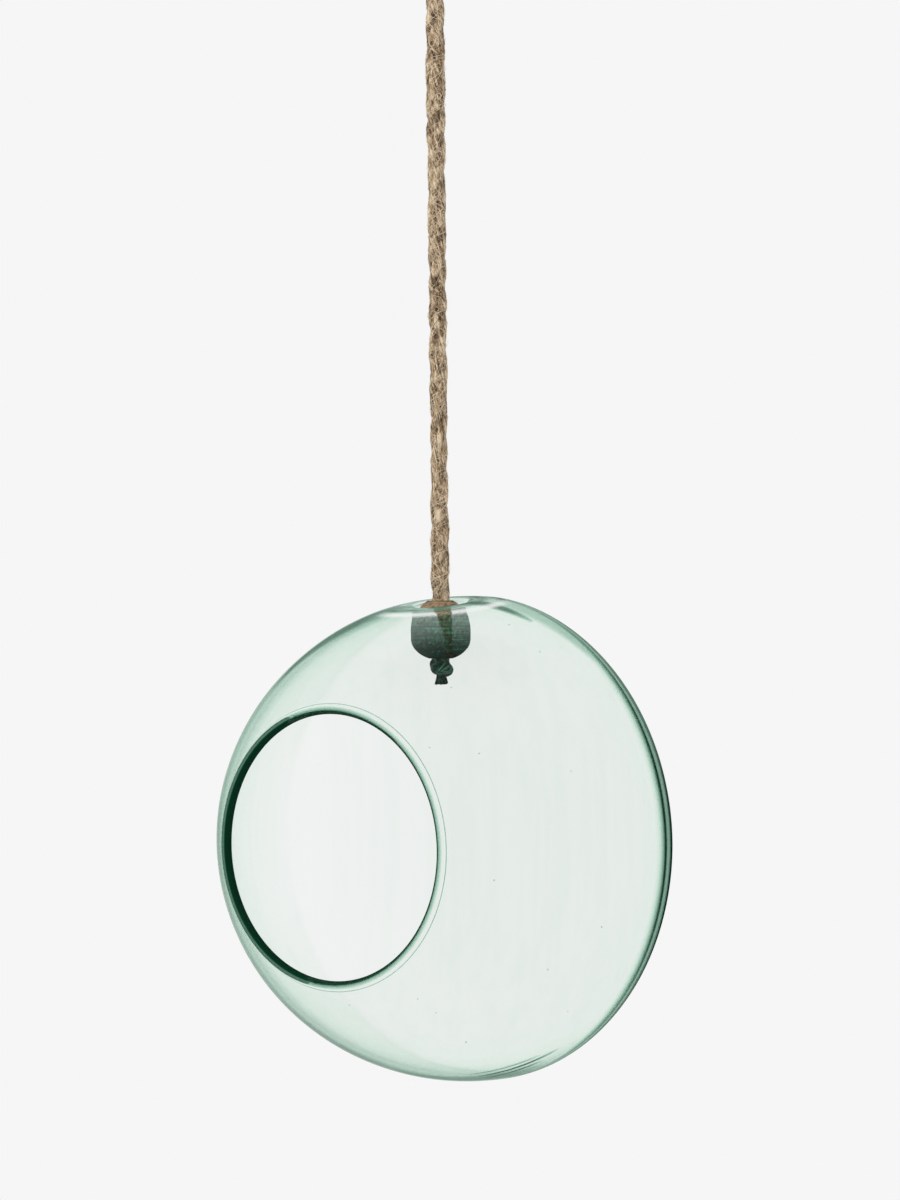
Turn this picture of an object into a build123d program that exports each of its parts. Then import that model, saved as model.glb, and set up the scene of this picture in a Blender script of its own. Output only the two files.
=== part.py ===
from build123d import *
import os
from math import acos, atan2, cos, degrees, pi, radians, sin, sqrt, tan

# A hanging glass vessel. A blown globe with a shallow back and a wide round mouth hangs by a hole in its top
# from a wooden bead, and the bead hangs on a jute rope that is knotted under it and looped at its upper end.
# The origin is the middle of the hook's bar inside the loop. Z is up along the rope, and the mouth faces -Y.
# All sizes are in millimetres and all angles in degrees.

# Rope and its hanging loop
rope_diameter = 8.0
hook_bar_diameter = 16.0
loop_drop = 48.0  # from the hook's bar down to the top of the loop's knot
loop_leg_gap = 0.8  # between the two legs where they leave the knot
loop_knot_diameter = 32.0
loop_knot_height = 26.0
loop_knot_rounding = 3.5
loop_tail_length = 22.0
loop_tail_lean = 16.0
upper_rope_length = 84.0  # from the loop's knot down to the place where the rope bends
lower_rope_length = 178.0  # from that place down to the top of the bead
rope_joint_gap = 0.3

# Wooden bead
bead_diameter = 25.6
bead_height = 25.0
bead_bowl_depth = 9.2  # of the bowl below, if it had no flat foot
bead_shoulder_height = 11.8  # above the foot, where the upright side turns in towards the top
bead_top_diameter = 10.8
bead_foot_diameter = 10.0
bead_bore_clearance = 0.3  # round the rope, on every side

# Stopper knot and frayed tail under the bead
stopper_knot_diameter = 10.8
stopper_knot_height = 7.2
stopper_knot_flat_diameter = 9.0  # the face that the bead rests on
stopper_neck_diameter = 4.6
stopper_seat_gap = 0.2
rope_tail_length = 3.8
rope_tail_flare = 0.9  # how far each side opens out towards the cut end

# Glass vessel, whose axis is level and runs from the shallow back to the mouth
vessel_diameter = 209.4
dome_depth = 114.6  # from the widest place to where the dome would close if it had no mouth
mouth_diameter = 110.8
wall = 2.9
lip_diameter = 4.4  # of the round roll that ends the wall at the mouth
back_depth = 28.0  # from the widest place to the outside of the back's middle
back_thickness = 4.9  # at the back's middle
hole_station = 19.0  # from the widest place forwards to the rope
hole_diameter = 22.6
hole_wall = 4.2
hole_flat_depth = 2.0  # how far the dome is flattened round the hole
hole_boss_diameter = 34.0
hole_edge_flat = 0.2  # what the two rounded edges leave of the hole's wall
radius_match = 0.1  # within this, an edge counts as having a given radius
hole_seat_gap = 0.3

# Rope heights, from the hook downwards
rope_radius = rope_diameter / 2
joint_cup_radius = rope_radius + rope_joint_gap
joint_drop = sqrt(joint_cup_radius**2 - rope_radius**2)  # puts the cup's rim on the rope's own side
loop_knot_top = -loop_drop
loop_knot_bottom = loop_knot_top - loop_knot_height
swing_z = loop_knot_bottom - joint_drop
bend_z = loop_knot_bottom - upper_rope_length
bead_top = bend_z - lower_rope_length
bead_foot = bead_top - bead_height
stopper_top = bead_foot - stopper_seat_gap
stopper_bottom = stopper_top - stopper_knot_height
tail_bottom = stopper_bottom - rope_tail_length

# Round end on which one length of rope turns in the next
def rope_ball(centre_z, radius, mode):
    with Locations((0, 0, centre_z)):
        Sphere(radius, mode=mode)


# Hanging loop: two straight legs that leave the knot side by side and close round the hook's bar
crown_radius = hook_bar_diameter / 2 + rope_radius
leg_x = rope_radius + loop_leg_gap / 2
leg_distance = sqrt(leg_x**2 + loop_drop**2)
touch_angle = atan2(-loop_drop, leg_x) + acos(crown_radius / leg_distance)
touch_x = crown_radius * cos(touch_angle)
touch_z = crown_radius * sin(touch_angle)
leg_past_knot = rope_diameter  # spare length that the knot's top then cuts off level
leg_length = sqrt((touch_x - leg_x) ** 2 + (touch_z - loop_knot_top) ** 2)
leg_step_x = (leg_x - touch_x) / leg_length * leg_past_knot
leg_step_z = (loop_knot_top - touch_z) / leg_length * leg_past_knot
leg_end = (leg_x + leg_step_x, loop_knot_top + leg_step_z)

with BuildPart() as hanging_loop:
    with BuildLine(Plane.XZ) as loop_path:
        left_leg = Line((-leg_end[0], leg_end[1]), (-touch_x, touch_z))
        crown = ThreePointArc(left_leg @ 1, (0, crown_radius), (touch_x, touch_z))
        Line(crown @ 1, leg_end)
    with BuildSketch(Plane(loop_path.line @ 0, z_dir=loop_path.line % 0)):
        Circle(rope_radius)
    sweep(path=loop_path.line)
    split(bisect_by=Plane.XY.offset(loop_knot_top), keep=Keep.TOP)
hanging_loop.part.label = "hanging_loop"

# Knot that closes the loop, with a round cup under it where the rope turns
with BuildPart() as loop_knot:
    with BuildSketch(Plane.XY.offset(loop_knot_bottom)):
        Circle(loop_knot_diameter / 2)
    extrude(amount=loop_knot_height)
    fillet(loop_knot.edges().filter_by(GeomType.CIRCLE), loop_knot_rounding)
    rope_ball(swing_z, joint_cup_radius, Mode.SUBTRACT)
loop_knot.part.label = "loop_knot"

# Short end of the rope that stands up behind the loop's legs
tail_y = rope_diameter + loop_leg_gap / 2
tail_direction = (0, sin(radians(loop_tail_lean)), cos(radians(loop_tail_lean)))
tail_plane = Plane((0, tail_y, loop_knot_top), x_dir=(1, 0, 0), z_dir=tail_direction)
with BuildPart() as loop_tail:
    with BuildSketch(tail_plane.offset(-leg_past_knot)):
        Circle(rope_radius)
    extrude(amount=leg_past_knot + loop_tail_length)
    split(bisect_by=Plane.XY.offset(loop_knot_top), keep=Keep.TOP)
loop_tail.part.label = "loop_tail"

# Upper length of rope, with a round upper end and a cup for the lower length
with BuildPart() as upper_rope:
    with BuildSketch(Plane.XY.offset(bend_z)):
        Circle(rope_radius)
    extrude(amount=swing_z - bend_z)
    rope_ball(swing_z, rope_radius, Mode.ADD)
    rope_ball(bend_z - joint_drop, joint_cup_radius, Mode.SUBTRACT)
upper_rope.part.label = "upper_rope"

# Lower length of rope, through the bead and down to the stopper knot
with BuildPart() as lower_rope:
    with BuildSketch(Plane.XY.offset(stopper_top)):
        Circle(rope_radius)
    extrude(amount=bend_z - joint_drop - stopper_top)
    rope_ball(bend_z - joint_drop, rope_radius, Mode.ADD)
lower_rope.part.label = "lower_rope"

# Part of an ellipse as one smooth curve, between two angles given as on its circle
def ellipse_curve(centre_z, across, along, start_angle, end_angle):
    start = radians(start_angle)
    end = radians(end_angle)
    reach = 4 / 3 * tan((end - start) / 4)
    first = Vector(across * cos(start), centre_z + along * sin(start))
    last = Vector(across * cos(end), centre_z + along * sin(end))
    first_handle = first + Vector(-across * sin(start), along * cos(start)) * reach
    last_handle = last - Vector(-across * sin(end), along * cos(end)) * reach
    return Bezier(first, first_handle, last_handle, last)


# The round edges of one radius
def ring_edges(piece, radius):
    circles = piece.edges().filter_by(GeomType.CIRCLE)
    return circles.filter_by(lambda edge: abs(edge.radius - radius) < radius_match)


# Turned wooden bead: a bowl below, a short upright side and a rounded taper above
bead_radius = bead_diameter / 2
bead_top_radius = bead_top_diameter / 2
bead_bore_radius = rope_radius + bead_bore_clearance
bead_foot_angle = acos(bead_foot_diameter / bead_diameter)
bead_bowl_top = bead_foot + bead_bowl_depth * sin(bead_foot_angle)
bead_shoulder = (bead_radius, bead_foot + bead_shoulder_height)
with BuildPart() as wooden_bead:
    with BuildSketch(Plane.XZ):
        with BuildLine():
            bowl = ellipse_curve(bead_bowl_top, bead_radius, bead_bowl_depth, -degrees(bead_foot_angle), 0)
            Line(bowl @ 1, bead_shoulder)
            TangentArc(bead_shoulder, (bead_top_radius, bead_top), tangent=(0, 1))
            bore_top = (bead_bore_radius, bead_top)
            bore_foot = (bead_bore_radius, bead_foot)
            Polyline((bead_top_radius, bead_top), bore_top, bore_foot, bowl @ 0)
        make_face()
    revolve(axis=Axis.Z)
wooden_bead.part.label = "wooden_bead"

# Stopper knot: a tight round knot with a flat top under the bead and a narrow neck to the tail
with BuildPart() as stopper_knot:
    with BuildSketch(Plane.XZ):
        with BuildLine():
            knot_top = Line((0, stopper_top), (stopper_knot_flat_diameter / 2, stopper_top))
            knot_widest = (stopper_knot_diameter / 2, (stopper_top + stopper_bottom) / 2)
            knot_neck = (stopper_neck_diameter / 2, stopper_bottom)
            TangentArc(knot_widest, knot_top @ 1, tangent=(0, 1))
            TangentArc(knot_widest, knot_neck, tangent=(0, -1))
            Polyline(knot_neck, (0, stopper_bottom), knot_top @ 0)
        make_face()
    revolve(axis=Axis.Z)
stopper_knot.part.label = "stopper_knot"

# Frayed tail, opening out towards its cut end
with BuildPart() as rope_tail:
    with BuildSketch(Plane.XY.offset(stopper_bottom)):
        Circle(stopper_neck_diameter / 2)
    with BuildSketch(Plane.XY.offset(tail_bottom)):
        Circle(stopper_neck_diameter / 2 + rope_tail_flare)
    loft()
rope_tail.part.label = "rope_tail"

# Where the hole's tilted, rounded rim settles on the bead, which sets the vessel's height on the rope
vessel_radius = vessel_diameter / 2
station_radius = vessel_radius * sqrt(1 - (hole_station / dome_depth) ** 2)
hole_tilt = atan2(vessel_radius**2 * hole_station, dome_depth**2 * station_radius)
hole_radius = hole_diameter / 2
rim_radius = hole_radius + hole_wall / 2  # to the middle of the rim's round section
taper_run = bead_radius - bead_top_radius
taper_rise = bead_height - bead_shoulder_height
taper_radius = (taper_run**2 + taper_rise**2) / (2 * taper_run)  # of the bead's rounded taper
rim_reach = taper_radius + hole_wall / 2 + hole_seat_gap
rim_run = rim_radius * cos(hole_tilt) + taper_radius - bead_radius
rim_low_z = bead_shoulder[1] + sqrt(rim_reach**2 - rim_run**2)
rim_z = rim_low_z + rim_radius * sin(hole_tilt)
hole_flat_z = rim_z + hole_wall / 2 / cos(hole_tilt)
axis_z = hole_flat_z + hole_flat_depth / cos(hole_tilt) - station_radius

# Glass vessel: a turned outline with a rolled lip, the flat and boss round the hole, and the hole itself
inside_radius = vessel_radius - wall
inside_depth = dome_depth - wall
inside_back_depth = back_depth - back_thickness
lip_radius = lip_diameter / 2
lip_ring_radius = mouth_diameter / 2 + lip_radius
mouth_angle = degrees(acos(lip_ring_radius / (vessel_radius - wall / 2)))
lip_ring_depth = (dome_depth - wall / 2) * sin(radians(mouth_angle))

outline_plane = Plane((0, hole_station, axis_z), x_dir=(1, 0, 0), z_dir=(0, 0, -1))
vessel_axis = Axis((0, hole_station, axis_z), (0, 1, 0))
hole_normal = (0, -sin(hole_tilt), cos(hole_tilt))
hole_plane = Plane((0, 0, hole_flat_z), x_dir=(1, 0, 0), z_dir=hole_normal)
clear_height = 4 * hole_flat_depth

with BuildPart() as glass_vessel:
    with BuildSketch(outline_plane):
        with BuildLine():
            back = ellipse_curve(0, vessel_radius, back_depth, -90, 0)
            dome = ellipse_curve(0, vessel_radius, dome_depth, 0, mouth_angle)
            inside_dome = ellipse_curve(0, inside_radius, inside_depth, mouth_angle, 0)
            inside_back = ellipse_curve(0, inside_radius, inside_back_depth, 0, -90)
            Line(dome @ 1, inside_dome @ 0)
            Line(inside_back @ 1, back @ 0)
        make_face()
        with Locations((lip_ring_radius, lip_ring_depth)):
            Circle(lip_radius)
    revolve(axis=vessel_axis)
    with BuildSketch(hole_plane):
        Circle(hole_boss_diameter / 2)
    extrude(amount=-hole_wall)
    with BuildSketch(hole_plane):
        Circle(hole_boss_diameter)
    extrude(amount=clear_height, mode=Mode.SUBTRACT)
    with BuildSketch(hole_plane):
        Circle(hole_radius)
    extrude(amount=-clear_height, mode=Mode.SUBTRACT)
    fillet(ring_edges(glass_vessel, hole_radius), (hole_wall - hole_edge_flat) / 2)
glass_vessel.part.label = "glass_vessel"

pieces = [
    hanging_loop,
    loop_knot,
    loop_tail,
    upper_rope,
    lower_rope,
    stopper_knot,
    rope_tail,
    wooden_bead,
    glass_vessel,
]
os.makedirs("parts", exist_ok=True)
for piece in pieces:
    export_step(piece.part, f"parts/{piece.part.label}.step")

loop_section = pi * rope_radius**2
print("loop crown radius", round(crown_radius, 2), "on rope of", rope_diameter)
print("loop tube length by volume", round(hanging_loop.part.volume / loop_section, 2))
print("loop tube length by path", round(loop_path.wire().length - 2 * leg_past_knot, 2))
print("swing height", round(swing_z, 3), "bend height", round(bend_z - joint_drop, 3))
print("bead from", round(bead_top, 3), "to", round(bead_foot, 3), "tail ends at", round(tail_bottom, 3))
print("vessel axis height", round(axis_z, 3), "hole flat at", round(hole_flat_z, 3))
print("hole tilt", round(degrees(hole_tilt), 2))
print("vessel centre of mass", glass_vessel.part.center(CenterOf.MASS))
print("vessel volume", round(glass_vessel.part.volume))
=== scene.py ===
import random
from math import acos, asin, atan2, cos, hypot, pi, radians, sin, sqrt, tau

import bmesh
import bpy
import numpy as np
from mathutils import Euler, Matrix, Vector, noise


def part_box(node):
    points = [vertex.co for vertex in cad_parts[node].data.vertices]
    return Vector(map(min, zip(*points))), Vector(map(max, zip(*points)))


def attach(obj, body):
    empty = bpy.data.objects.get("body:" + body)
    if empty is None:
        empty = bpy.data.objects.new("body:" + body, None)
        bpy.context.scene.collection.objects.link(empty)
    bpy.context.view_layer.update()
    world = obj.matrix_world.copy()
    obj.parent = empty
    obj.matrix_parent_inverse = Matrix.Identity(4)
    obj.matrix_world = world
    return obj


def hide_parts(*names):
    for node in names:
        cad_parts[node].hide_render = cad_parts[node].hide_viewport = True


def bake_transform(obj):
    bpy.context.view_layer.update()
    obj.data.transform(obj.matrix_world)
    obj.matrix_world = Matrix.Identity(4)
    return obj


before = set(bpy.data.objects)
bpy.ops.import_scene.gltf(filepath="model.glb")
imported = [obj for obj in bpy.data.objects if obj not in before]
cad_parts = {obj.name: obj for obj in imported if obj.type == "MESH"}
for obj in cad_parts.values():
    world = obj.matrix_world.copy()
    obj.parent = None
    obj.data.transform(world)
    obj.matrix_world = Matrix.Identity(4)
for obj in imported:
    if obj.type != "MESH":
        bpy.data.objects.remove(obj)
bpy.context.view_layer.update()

# Camera, placed by the middle of the glass: where that lies in the picture, and how far away it is
camera_azimuth = radians(37.6)
camera_distance = 2.0
camera_lens = 139.2
sensor_size = 36.0
glass_right_of_axis = 0.0075
glass_below_axis = 0.1023
camera_roll = radians(0.53)

# Light and stage, with a ceiling that darkens between two heights of the direction it is seen in
backdrop_colour = (0.92, 0.92, 0.92)
ceiling_colour = (0.16, 0.16, 0.16)
ceiling_start = 0.86
ceiling_full = 0.995
world_light = 0.62
lamps = [
    ("overhead_softbox", (-1.0, -0.95, 0.9), (1.4, 1.0), 15),
    ("side_softbox", (1.6, -1.4, 0.1), (0.8, 1.4), 10),
]
floor_drop = 0.20
floor_radius = 1.1
floor_sides = 128

# Rope
rope_diameter = 0.008
rope_pitch = 0.0468
rope_strands = 3
rope_step = 0.0003
rope_sides = 96
strand_size = 0.62
strand_place = 1 - strand_size
rope_into_stub = 0.001
rope_into_knot = 0.006

# How the rope varies along its length: an amount, and waves per metre
rope_fullness = 0.96
slow_swell = (0.045, 22)
quick_swell = (0.035, 70)
twist_change = (0.5, 26)
groove_change = (0.45, 60)

# Skin of the rope: roughness as a share of its radius, how fast it changes round and along it, and its tone,
# with painted shade in the grooves between its strands
coarse_roughness = 0.070
coarse_grain = (4.2, 260)
fine_roughness = 0.045
fine_grain = (11, 520)
skin_slant = 55
skin_tone = 0.57
coarse_tone = 0.42
groove_painted_shade = 0.36

# Grain of the fibres, round and along a rope or a thin cord, and how far apart the grain of two ropes lies
rope_grain = (6.5, 340)
cord_grain = (5, 330)
grain_shift = 17

# Loose fibres, given by their lift off the rope, half their thickness and their paleness
lying_fibre = (0.0003, 0.00013, 0.78)
standing_fibre = (0.0010, 0.00015, 1.10)
fibre_lengths = (0.003, 0.011)
fibre_lean = (110, 260)
fibre_curl = 1.6
fibre_tone_spread = 0.28
fibre_tones = (0.15, 1.1)
fibre_thinning = (0.6, 1.25)
fibre_bedding = 0.4
fibre_points = 9
fibre_corners = 4
fibre_tip = 0.45

# Loop over the hook, its knot and its short end
crown_radius = 0.012
loop_half_width = crown_radius * 1.02
leg_x = 0.0044
leg_into_knot = 0.008
loop_neck = 0.004
wrap_turns = 2.6
wrap_start = 0.7
wrap_points_per_turn = 12
wrap_half_height = rope_diameter * 0.56
wrap_reach_share = 1.02
tail_into_knot = 0.008
tail_bow = 0.0006
tail_from_back = rope_diameter * 0.62
tail_from_top = 0.002

# Glass
vessel_radius = 0.1047
dome_depth = 0.1146
mouth_radius = 0.0554
wall = 0.0029
lip_radius = 0.0022
back_depth = 0.028
back_thickness = 0.0049
hole_station = 0.019
hole_radius = 0.0113
hole_wall = 0.0042
hole_flat_depth = 0.002
flat_softness = 0.0010
boss_reach = (0.0152, 0.0184)
hole_side_depth = 0.03
blow_amount = 0.00012
blow_waves = 22
blow_middle = 0.02
crease_reach = 0.0005

# Mesh of the glass: columns round it, rows along it, and the patch round its hole
glass_columns = 320
front_rows = 46
near_rows = 13
back_rows = 110
lip_rows = 40
hole_rows = 17
patch_rows = 30
patch_half_columns = 9
patch_half_length = 0.0155
patch_rings = 7

# Painted shade at the edges of the glass: on the lip between two angles of its roll, at its crease, and at
# the turn into the back
rim_dark = (radians(55), radians(109))
rim_darkness = 0.97
crease_darkness = 0.48
turn_ahead = 0.0021
turn_front_width = 0.0030
turn_line_width = 0.0007
turn_back_width = 0.016
turn_darkness = 0.72
turn_line_darkness = 0.28
turn_edge_darkness = 0.70
turn_edge_angle = radians(105)
turn_edge_start = 0.0009
turn_edge_run = 0.001

# Threads of denser glass, drawn as lines of painted shade, each from one place to another: angle from the top
# in degrees, distance ahead of the widest place and half width at both ends, and how dark the painted shade
# is edge on
glass_threads = [
    ((3, 0.0195, 0.0080), (27, 0.0155, 0.0014), 0.84),
    ((5, 0.0095, 0.0110), (50, 0.0030, 0.0020), 0.42),
    ((170, 0.0325, 0.0014), (150, 0.0195, 0.0012), 0.66),
    ((171, 0.0270, 0.0016), (147, 0.0142, 0.0013), 0.92),
    ((172, 0.0212, 0.0015), (152, 0.0127, 0.0013), 0.92),
    ((172, 0.0160, 0.0013), (155, 0.0068, 0.0012), 0.75),
]

# Bands of painted shade, given like the threads, that darken only the outline
outline_shade_bands = [
    ((-1, 0.0325, 0.0225), (-45, 0.0760, 0.0010), 0.85),
    ((152, -0.0026, 0.0200), (193, 0.0500, 0.0030), 0.76),
]

# Uneven painted shade and a bright ring of painted reflection round the hole, and bubbles and streaks all
# over
swirl_level = 0.05
swirl_amount = 0.75
swirl_grain = (1.6, 260)
swirl_reach = 0.034
swirl_fade = 0.012
glint_reach = 0.0268
glint_half_width = 0.0026
glint_strength = 0.80
bubbles_per_metre = 66
streak_scale = (110, 110, 6)

# Bead, with fine and broad grooves given by their depth and by waves per metre
bead_radius = 0.0128
bead_bowl_depth = 0.0092
bead_shoulder_height = 0.0118
bead_top_radius = 0.0054
bead_foot_radius = 0.0050
bead_bore_radius = 0.0043
bead_columns = 128
bead_rows = 60
bead_side_rows = 16
fine_groove = (0.00007, 1500)
broad_groove = (0.00010, 420)
green_below_top = 0.0072
brown_below_top = 0.0056
# Painted shade under the bead: how far its shade drops at the foot, and how high that painted shade reaches
underside_shade = -0.50
underside_height = bead_bowl_depth * 1.5
wood_grain_scale = (1000, 1000, 650)
wood_ring_scale = (60, 60, 1500)

# Stopper knot, and the direction in which it leans down, from +X toward +Y
knot_swing = 0.45
knot_turn = 0.9
knot_lean = 0.28
knot_lean_angle = radians(37.6)
knot_strand_share = 0.66
knot_steps = 36
stub_height = 0.004
stub_radius = rope_diameter / 2 * 0.94
cord_sides = 24
cord_ridge = 0.13
cord_ridge_grain = (3, 300)

# Frayed tail
tail_yarns = 22
tail_margin = 0.0006
tail_neck_share = 0.55
yarn_radii = (0.00035, 0.0006)
yarn_drops = (0.72, 0.98)
yarn_bend = 0.5
yarn_flare = 1.55
yarn_apart = 0.0004
yarn_into_knot = 0.0012

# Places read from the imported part
bead_low, bead_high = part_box("wooden_bead")
bead_foot = bead_low[2]
bead_top = bead_high[2]
stopper_low, stopper_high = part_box("stopper_knot")
tail_low, tail_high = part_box("rope_tail")
loop_knot_low, loop_knot_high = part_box("loop_knot")
loop_tail_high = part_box("loop_tail")[1]
glass_low, glass_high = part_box("glass_vessel")
axis_z = glass_low[2] + vessel_radius
widest_y = glass_high[1] - back_depth

scene = bpy.context.scene
scene.view_settings.view_transform = "Standard"


# Mesh object from points and faces, smooth shaded, with values painted on its points
def add_piece(name, points, faces, material, extra=None):
    mesh = bpy.data.meshes.new(name)
    mesh.from_pydata([tuple(p) for p in points], [], faces)
    mesh.materials.append(material)
    mesh.polygons.foreach_set("use_smooth", [True] * len(mesh.polygons))
    for key, (kind, values) in (extra or {}).items():
        store = mesh.attributes.new(key, kind, "POINT")
        field = "vector" if kind == "FLOAT_VECTOR" else "value"
        store.data.foreach_set(field, np.asarray(values, dtype=np.float32).ravel())
    mesh.update()
    piece = bpy.data.objects.new(name, mesh)
    scene.collection.objects.link(piece)
    return piece


# Node tree of a material or of the world
class Shading:
    def __init__(self, owner):
        owner.use_nodes = True
        self.nodes = owner.node_tree.nodes
        self.links = owner.node_tree.links

    # Gives a node's inputs their values, each a socket to read, a number, a vector or a colour
    def feed(self, node, inputs):
        for name, value in inputs.items():
            socket = node.inputs[name]
            if isinstance(value, bpy.types.NodeSocket):
                self.links.new(value, socket)
            else:
                socket.default_value = (*value, 1) if socket.type == "RGBA" else value
        return node

    # New node with its inputs
    def add(self, kind, inputs=None):
        return self.feed(self.nodes.new("ShaderNode" + kind), inputs or {})

    # Place in the object's own frame
    def place(self):
        return self.add("TexCoord").outputs["Object"]

    # Value painted on the points of a mesh
    def painted(self, name, output="Fac"):
        node = self.add("Attribute")
        node.attribute_name = name
        return node.outputs[output]

    # Noise read at the given vector
    def noise(self, vector, scale, detail, roughness=0.5):
        inputs = {"Vector": vector, "Scale": scale, "Detail": detail, "Roughness": roughness}
        return self.add("TexNoise", inputs).outputs["Fac"]

    # Result of an operation on two values
    def math(self, operation, first, second, clamp=False):
        node = self.add("Math", {0: first, 1: second})
        node.operation = operation
        node.use_clamp = clamp
        return node.outputs[0]

    # Colour by the given stops over a value
    def ramp(self, source, stops):
        node = self.add("ValToRGB", {0: source})
        elements = node.color_ramp.elements
        while len(elements) < len(stops):
            elements.new(0.5)
        for element, (place, colour) in zip(elements, stops):
            element.position = place
            element.color = (*colour, 1)
        return node.outputs[0]

    # Number by the given stops over a value
    def curve(self, source, stops):
        return self.ramp(source, [(place, (value, value, value)) for place, value in stops])

    # Number that changes evenly between two places of a value
    def slope(self, source, places, results):
        inputs = {"Value": source, "From Min": places[0], "From Max": places[1]}
        inputs.update({"To Min": results[0], "To Max": results[1]})
        return self.add("MapRange", inputs).outputs["Result"]

    # Shade made uneven by noises, each with its amount
    def uneven(self, shade, noises):
        for source, amount in noises:
            centred = self.math("SUBTRACT", source, 0.5)
            shade = self.math("ADD", shade, self.math("MULTIPLY", centred, amount))
        return shade

    # Vector scaled along each axis
    def stretch(self, vector, scale):
        return self.add("Mapping", {"Vector": vector, "Scale": scale}).outputs["Vector"]

    # Bump from a height
    def bump(self, height, distance):
        return self.add("Bump", {"Height": height, "Distance": distance, "Strength": 1}).outputs["Normal"]

    # Two colours mixed by a value
    def mix(self, factor, first, second):
        node = self.add("Mix")
        node.data_type = "RGBA"
        self.feed(node, {"Factor": factor, 6: first, 7: second})
        return node.outputs[2]

    # Two shaders mixed by a value
    def mix_shaders(self, factor, first, second):
        return self.add("MixShader", {0: factor, 1: first.outputs[0], 2: second.outputs[0]})


# New material, with its node tree and its main shader
def start_material(name):
    material = bpy.data.materials.new(name)
    tree = Shading(material)
    return material, tree, tree.nodes["Principled BSDF"]


# Camera
def make_camera():
    toward = Vector((sin(camera_azimuth), -cos(camera_azimuth), 0))
    right = Vector((cos(camera_azimuth), sin(camera_azimuth), 0))
    glass_middle = Vector((0, widest_y, axis_z))
    aim = glass_middle - right * glass_right_of_axis + Vector((0, 0, glass_below_axis))
    data = bpy.data.cameras.new("camera")
    data.sensor_fit = "VERTICAL"
    data.sensor_height = sensor_size
    data.lens = camera_lens
    camera = bpy.data.objects.new("camera", data)
    camera.location = aim + toward * camera_distance
    upright = Euler((pi / 2, 0, camera_azimuth)).to_matrix()
    camera.rotation_euler = (upright @ Matrix.Rotation(-camera_roll, 3, "Z")).to_euler()
    scene.collection.objects.link(camera)
    scene.camera = camera


make_camera()


# World: a plain level of light, and the pale backdrop wherever it is seen, with a dark ceiling in reflections
def make_world():
    world = bpy.data.worlds.new("studio")
    tree = Shading(world)
    light = tree.feed(tree.nodes["Background"], {"Color": (1, 1, 1), "Strength": world_light})
    direction = tree.add("SeparateXYZ", {0: tree.add("TexCoord").outputs["Generated"]})
    ceiling_stops = [(ceiling_start, backdrop_colour), (ceiling_full, ceiling_colour)]
    ceiling = tree.ramp(direction.outputs["Z"], ceiling_stops)
    ray = tree.add("LightPath").outputs
    tone = tree.mix(ray["Is Glossy Ray"], backdrop_colour, ceiling)
    seen = tree.add("Background", {"Color": tone, "Strength": 1})
    either = tree.math("MAXIMUM", ray["Is Camera Ray"], ray["Is Glossy Ray"])
    any_seen = tree.math("MAXIMUM", either, ray["Is Transmission Ray"])
    mix = tree.mix_shaders(any_seen, light, seen)
    tree.feed(tree.nodes["World Output"], {"Surface": mix.outputs[0]})
    scene.world = world


make_world()


# Soft lamp that points at the object
def add_lamp(name, place, size, power):
    data = bpy.data.lights.new(name, "AREA")
    data.shape = "RECTANGLE"
    data.size = size[0]
    data.size_y = size[1]
    data.energy = power
    lamp = bpy.data.objects.new(name, data)
    lamp.location = place
    aim = Vector((0, 0, axis_z)) - Vector(place)
    lamp.rotation_euler = aim.to_track_quat("-Z", "Y").to_euler()
    lamp.visible_glossy = False
    lamp.visible_transmission = False
    scene.collection.objects.link(lamp)


for lamp_values in lamps:
    add_lamp(*lamp_values)


# Floor: a pale round sheet under the vessel that takes its shadow, and looks like the backdrop in the glass
def make_floor():
    material, tree, shader = start_material("pale_floor")
    grain = tree.noise(tree.place(), scale=40, detail=2)
    colour = tree.ramp(grain, [(0.3, (0.90, 0.90, 0.90)), (0.7, (0.93, 0.93, 0.93))])
    tree.feed(shader, {"Base Color": colour, "Roughness": 0.9, "Specular IOR Level": 0.1})
    backdrop = tree.add("Emission", {"Color": backdrop_colour})
    ray = tree.add("LightPath").outputs
    in_glass = tree.math("MAXIMUM", ray["Is Glossy Ray"], ray["Is Transmission Ray"])
    mix = tree.mix_shaders(in_glass, shader, backdrop)
    tree.feed(tree.nodes["Material Output"], {"Surface": mix.outputs[0]})
    floor_z = glass_low[2] - floor_drop
    turns = [tau * k / floor_sides for k in range(floor_sides)]
    rim = [(floor_radius * cos(turn), floor_radius * sin(turn), floor_z) for turn in turns]
    floor = add_piece("floor", rim, [list(range(floor_sides))], material)


make_floor()


# Jute: pale and dark fibres that run along the strands, in the colours of the given stops, darker where the
# rope's tone carries painted shade in its grooves
def make_jute(name, stops):
    material, tree, shader = start_material(name)
    along = tree.painted("fibre", "Vector")
    fine = tree.noise(along, scale=1.0, detail=3, roughness=0.65)
    broad = tree.noise(along, scale=0.33, detail=2)
    patches = tree.noise(tree.place(), scale=230, detail=2)
    shade = tree.uneven(tree.painted("tone"), ((fine, 2.9), (broad, 1.4), (patches, 1.1)))
    values = {
        "Base Color": tree.ramp(shade, stops),
        "Normal": tree.bump(fine, distance=0.0007),
        "Roughness": 0.85,
        "Specular IOR Level": 0.2,
        "Sheen Weight": 0.2,
        "Sheen Roughness": 0.5,
    }
    tree.feed(shader, values)
    return material


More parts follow.
